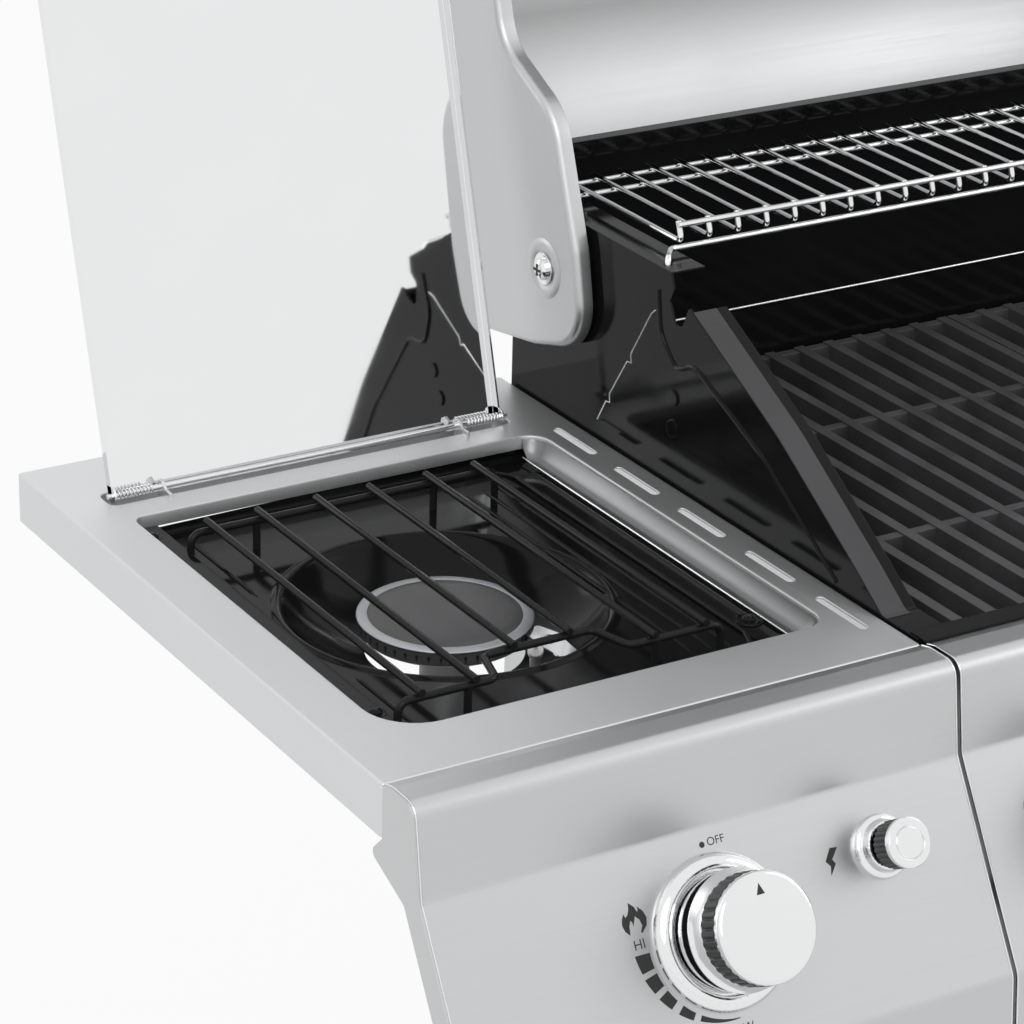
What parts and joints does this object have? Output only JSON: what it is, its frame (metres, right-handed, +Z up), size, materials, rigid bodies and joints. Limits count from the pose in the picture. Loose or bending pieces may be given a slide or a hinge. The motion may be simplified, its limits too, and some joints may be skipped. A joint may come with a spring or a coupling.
{
  "type": "gas grill",
  "caption": "Free-standing gas grill with a hinged lid, side shelves, a lidded side burner, a row of push-and-turn knobs, a cart with doors, and swivel casters.",
  "frame": {"origin": "on the floor, under the middle of the grill's outer box with its lids open", "axes": "+X to the right of a person who stands at the grill, -Y to the front, +Z up"},
  "size_m": [1.428, 0.7526, 1.4138],
  "materials": {
    "stainless": "brushed",
    "bright_steel": "polished",
    "black_enamel": "gloss",
    "cast_iron": "matt enamelled",
    "brass": "turned",
    "zinc_plated_steel": "zinc plated",
    "black_rubber": "matt"
  },
  "bodies": {
    "grill": {"cart_sides": "stainless", "cart_back_panel": "stainless", "cart_front_frame": "stainless", "control_panel": "stainless", "side_shelf_left": "stainless", "side_panel_left": "stainless", "shelf_end_caps": "stainless", "side_shelf_right": "stainless", "side_panel_right": "stainless", "main_burners": "stainless", "bezel_rings": "bright_steel", "warming_rack": "bright_steel", "lid_pivots": "bright_steel", "side_lid_hinge": "bright_steel", "firebox_sides": "black_enamel", "firebox_back": "black_enamel", "firebox_front": "black_enamel", "firebox_floor": "black_enamel", "heat_plates": "black_enamel", "drip_pan": "black_enamel", "side_burner_cap": "black_enamel", "cooking_grate_left": "cast_iron", "cooking_grate_right": "cast_iron", "side_burner_grate": "cast_iron", "side_burner": "cast_iron", "gas_valves": "brass", "cart_base": "zinc_plated_steel", "caster_plates": "zinc_plated_steel", "gas_manifold": "zinc_plated_steel"},
    "lid": {"main_lid": "stainless", "lid_ends": "stainless", "lid_handle": "bright_steel", "thermometer": "bright_steel"},
    "side_burner_lid": {"side_lid": "bright_steel"},
    "left_door": {"door_left": "stainless"},
    "right_door": {"door_right": "stainless"},
    "tray": {"grease_tray": "zinc_plated_steel"},
    "button": {"igniter_button": "bright_steel"},
    "push_1": {"spring_seat_1": "zinc_plated_steel"},
    "dial_1": {"knob_1": "bright_steel"},
    "push_2": {"spring_seat_2": "zinc_plated_steel"},
    "dial_2": {"knob_2": "bright_steel"},
    "push_3": {"spring_seat_3": "zinc_plated_steel"},
    "dial_3": {"knob_3": "bright_steel"},
    "push_4": {"spring_seat_4": "zinc_plated_steel"},
    "dial_4": {"knob_4": "bright_steel"},
    "push_5": {"spring_seat_5": "zinc_plated_steel"},
    "dial_5": {"knob_5": "bright_steel"},
    "push_side": {"spring_seat_side": "zinc_plated_steel"},
    "dial_side": {"knob_side": "bright_steel"},
    "swivel_1": {"caster_fork_1": "zinc_plated_steel"},
    "wheel_1": {"caster_wheel_1": "black_rubber"},
    "swivel_2": {"caster_fork_2": "zinc_plated_steel"},
    "wheel_2": {"caster_wheel_2": "black_rubber"},
    "swivel_3": {"caster_fork_3": "zinc_plated_steel"},
    "wheel_3": {"caster_wheel_3": "black_rubber"},
    "swivel_4": {"caster_fork_4": "zinc_plated_steel"},
    "wheel_4": {"caster_wheel_4": "black_rubber"},
    "brake_1": {"brake_lever_1": "black_rubber"},
    "brake_2": {"brake_lever_2": "black_rubber"}
  },
  "joints": [
    {"name": "lid_hinge", "type": "hinge", "parent": "grill", "child": "lid", "pos_m": [0, 0.14408, 0.9825], "axis": [1, 0, 0], "range_deg": [0, 107]},
    {"name": "side_lid_turn", "type": "hinge", "parent": "grill", "child": "side_burner_lid", "pos_m": [-0.541, 0.14988, 0.883], "axis": [1, 0, 0], "range_deg": [0, 106]},
    {"name": "left_door_hinge", "type": "hinge", "parent": "grill", "child": "left_door", "pos_m": [-0.353, -0.31312, 0.37], "axis": [0, 0, -1], "range_deg": [0, 110]},
    {"name": "right_door_hinge", "type": "hinge", "parent": "grill", "child": "right_door", "pos_m": [0.353, -0.31312, 0.37], "axis": [0, 0, 1], "range_deg": [0, 110]},
    {"name": "tray_slide", "type": "slide", "parent": "grill", "child": "tray", "axis": [0, 1, 0], "range_m": [0, 0.3]},
    {"name": "button_push", "type": "slide", "parent": "grill", "child": "button", "axis": [0, 0.8634, -0.5045], "range_m": [0, 0.004], "stiffness_N_per_m": 800, "springref_m": -0.003},
    {"name": "push_1_slide", "type": "slide", "parent": "grill", "child": "push_1", "axis": [0, 0.8634, -0.5045], "range_m": [0, 0.005], "stiffness_N_per_m": 1500, "springref_m": -0.004},
    {"name": "dial_1_turn", "type": "hinge", "parent": "push_1", "child": "dial_1", "pos_m": [-0.268, -0.31939, 0.77752], "axis": [0, -0.8634, 0.5045], "range_deg": [0, 190]},
    {"name": "push_2_slide", "type": "slide", "parent": "grill", "child": "push_2", "axis": [0, 0.8634, -0.5045], "range_m": [0, 0.005], "stiffness_N_per_m": 1500, "springref_m": -0.004},
    {"name": "dial_2_turn", "type": "hinge", "parent": "push_2", "child": "dial_2", "pos_m": [-0.134, -0.31939, 0.77752], "axis": [0, -0.8634, 0.5045], "range_deg": [0, 190]},
    {"name": "push_3_slide", "type": "slide", "parent": "grill", "child": "push_3", "axis": [0, 0.8634, -0.5045], "range_m": [0, 0.005], "stiffness_N_per_m": 1500, "springref_m": -0.004},
    {"name": "dial_3_turn", "type": "hinge", "parent": "push_3", "child": "dial_3", "pos_m": [0, -0.31939, 0.77752], "axis": [0, -0.8634, 0.5045], "range_deg": [0, 190]},
    {"name": "push_4_slide", "type": "slide", "parent": "grill", "child": "push_4", "axis": [0, 0.8634, -0.5045], "range_m": [0, 0.005], "stiffness_N_per_m": 1500, "springref_m": -0.004},
    {"name": "dial_4_turn", "type": "hinge", "parent": "push_4", "child": "dial_4", "pos_m": [0.134, -0.31939, 0.77752], "axis": [0, -0.8634, 0.5045], "range_deg": [0, 190]},
    {"name": "push_5_slide", "type": "slide", "parent": "grill", "child": "push_5", "axis": [0, 0.8634, -0.5045], "range_m": [0, 0.005], "stiffness_N_per_m": 1500, "springref_m": -0.004},
    {"name": "dial_5_turn", "type": "hinge", "parent": "push_5", "child": "dial_5", "pos_m": [0.268, -0.31939, 0.77752], "axis": [0, -0.8634, 0.5045], "range_deg": [0, 190]},
    {"name": "push_side_slide", "type": "slide", "parent": "grill", "child": "push_side", "axis": [0, 0.8634, -0.5045], "range_m": [0, 0.005], "stiffness_N_per_m": 1500, "springref_m": -0.004},
    {"name": "dial_side_turn", "type": "hinge", "parent": "push_side", "child": "dial_side", "pos_m": [-0.5405, -0.31939, 0.77752], "axis": [0, -0.8634, 0.5045], "range_deg": [0, 190]},
    {"name": "swivel_1_turn", "type": "hinge", "parent": "grill", "child": "swivel_1", "pos_m": [-0.319, -0.25712, 0.07], "axis": [0, 0, 1], "continuous": true},
    {"name": "wheel_1_roll", "type": "hinge", "parent": "swivel_1", "child": "wheel_1", "pos_m": [-0.319, -0.23312, 0.032], "axis": [1, 0, 0], "continuous": true},
    {"name": "swivel_2_turn", "type": "hinge", "parent": "grill", "child": "swivel_2", "pos_m": [0.319, -0.25712, 0.07], "axis": [0, 0, 1], "continuous": true},
    {"name": "wheel_2_roll", "type": "hinge", "parent": "swivel_2", "child": "wheel_2", "pos_m": [0.319, -0.23312, 0.032], "axis": [1, 0, 0], "continuous": true},
    {"name": "swivel_3_turn", "type": "hinge", "parent": "grill", "child": "swivel_3", "pos_m": [-0.319, 0.14488, 0.07], "axis": [0, 0, 1], "continuous": true},
    {"name": "wheel_3_roll", "type": "hinge", "parent": "swivel_3", "child": "wheel_3", "pos_m": [-0.319, 0.16888, 0.032], "axis": [1, 0, 0], "continuous": true},
    {"name": "swivel_4_turn", "type": "hinge", "parent": "grill", "child": "swivel_4", "pos_m": [0.319, 0.14488, 0.07], "axis": [0, 0, 1], "continuous": true},
    {"name": "wheel_4_roll", "type": "hinge", "parent": "swivel_4", "child": "wheel_4", "pos_m": [0.319, 0.16888, 0.032], "axis": [1, 0, 0], "continuous": true},
    {"name": "brake_1_press", "type": "hinge", "parent": "swivel_1", "child": "brake_1", "pos_m": [-0.319, -0.23112, 0.058], "axis": [1, 0, 0], "range_deg": [-8, 0]},
    {"name": "brake_2_press", "type": "hinge", "parent": "swivel_2", "child": "brake_2", "pos_m": [0.319, -0.23112, 0.058], "axis": [1, 0, 0], "range_deg": [-8, 0]}
  ]
}
